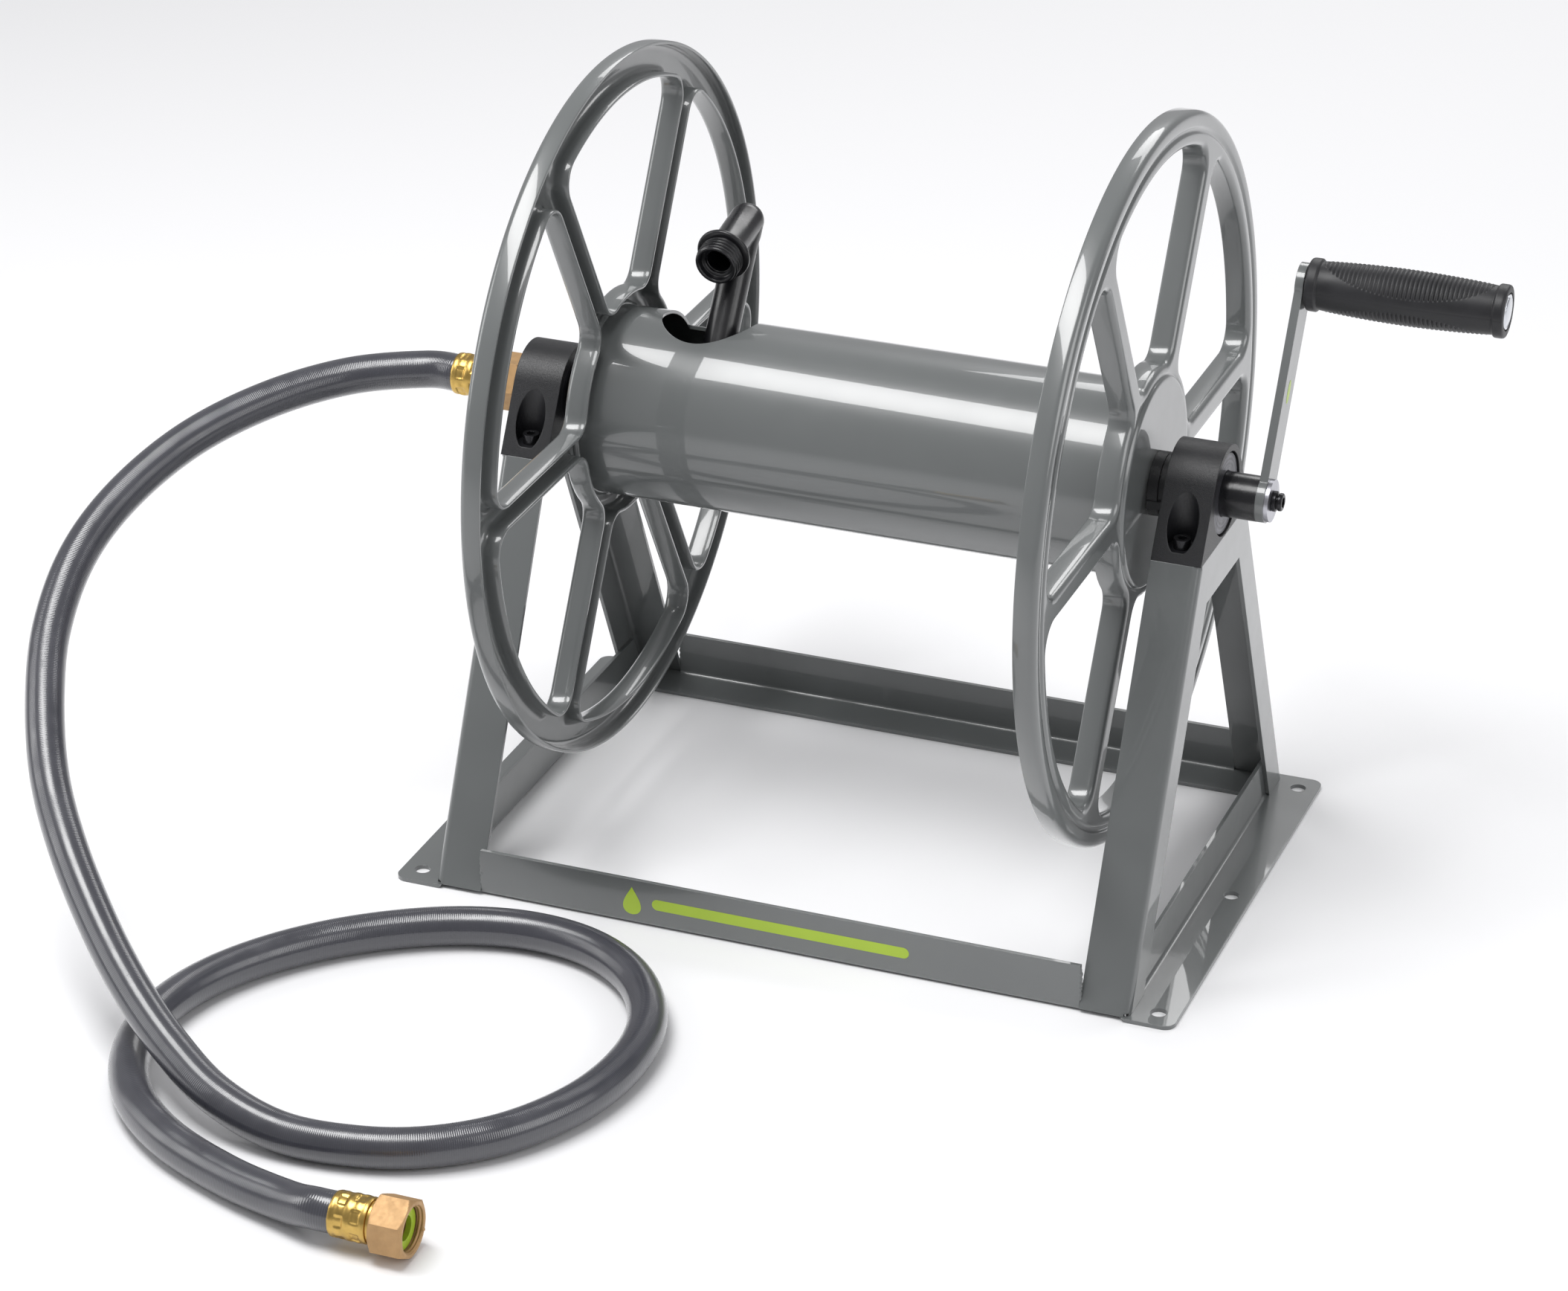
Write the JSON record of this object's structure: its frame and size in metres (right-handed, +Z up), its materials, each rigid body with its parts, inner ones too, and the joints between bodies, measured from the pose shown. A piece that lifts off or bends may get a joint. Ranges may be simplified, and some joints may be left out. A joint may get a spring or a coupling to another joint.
{
  "type": "hose reel",
  "caption": "Steel garden hose reel on an A-frame stand with a crank handle, swivel water inlet, threaded outlet elbow and a short leader hose.",
  "frame": {"origin": "centre of the foot hole pattern at floor level, midway between the side frames", "axes": "+X along the reel axle towards the crank, -Y towards the front rail and the outlet mouth, +Z up"},
  "size_m": [0.7965, 0.7555, 0.479],
  "materials": {
    "enamel": "grey gloss enamel",
    "arm_enamel": "grey gloss enamel",
    "block_black": "fine textured satin black",
    "pipe_black": "satin black",
    "bush_metal": "turned",
    "screw_black": "blackened",
    "brass_nut": "matte",
    "brass_ferrule": "polished",
    "hose_vinyl": "glossy vinyl",
    "washer_rubber": "matte",
    "grip_rubber": "matte",
    "grip_core_plastic": "matte",
    "end_chrome": "polished"
  },
  "bodies": {
    "stand": {"left_side_frame": "enamel", "right_side_frame": "enamel", "left_foot_rail": "enamel", "right_foot_rail": "enamel", "front_rail": "enamel", "rear_rail": "enamel", "left_bearing_block": "block_black", "right_bearing_block": "block_black", "left_bush": "bush_metal", "right_bush": "bush_metal", "left_front_screw": "screw_black", "left_rear_screw": "screw_black", "right_front_screw": "screw_black", "right_rear_screw": "screw_black", "inlet_swivel": "pipe_black", "inlet_nut": "brass_nut", "inlet_tail": "brass_ferrule", "inlet_ferrule": "brass_ferrule", "leader_hose": "hose_vinyl", "end_ferrule": "brass_ferrule", "end_tail": "brass_ferrule", "end_washer": "washer_rubber"},
    "reel": {"drum": "enamel", "left_flange": "enamel", "right_flange": "enamel", "water_axle": "pipe_black", "left_collar": "pipe_black", "outlet_pipe": "pipe_black", "crank_shaft": "pipe_black", "right_collar": "pipe_black", "crank_arm": "arm_enamel", "crank_washer": "bush_metal", "crank_screw": "screw_black", "grip_spindle": "bush_metal", "grip_end_disc": "end_chrome"},
    "grip": {"grip_core": "grip_core_plastic", "grip_sleeve": "grip_rubber"},
    "end_coupling": {"end_nut": "brass_nut"}
  },
  "joints": [
    {"name": "reel_spin", "type": "hinge", "parent": "stand", "child": "reel", "pos_m": [0, 0, 0.264], "axis": [1, 0, 0], "continuous": true},
    {"name": "grip_spin", "type": "hinge", "parent": "reel", "child": "grip", "pos_m": [0.3, 0.06325, 0.37355], "axis": [1, 0, 0], "continuous": true},
    {"name": "end_nut_spin", "type": "hinge", "parent": "stand", "child": "end_coupling", "pos_m": [-0.07, -0.525, 0.018], "axis": [1, 0, 0], "continuous": true}
  ]
}
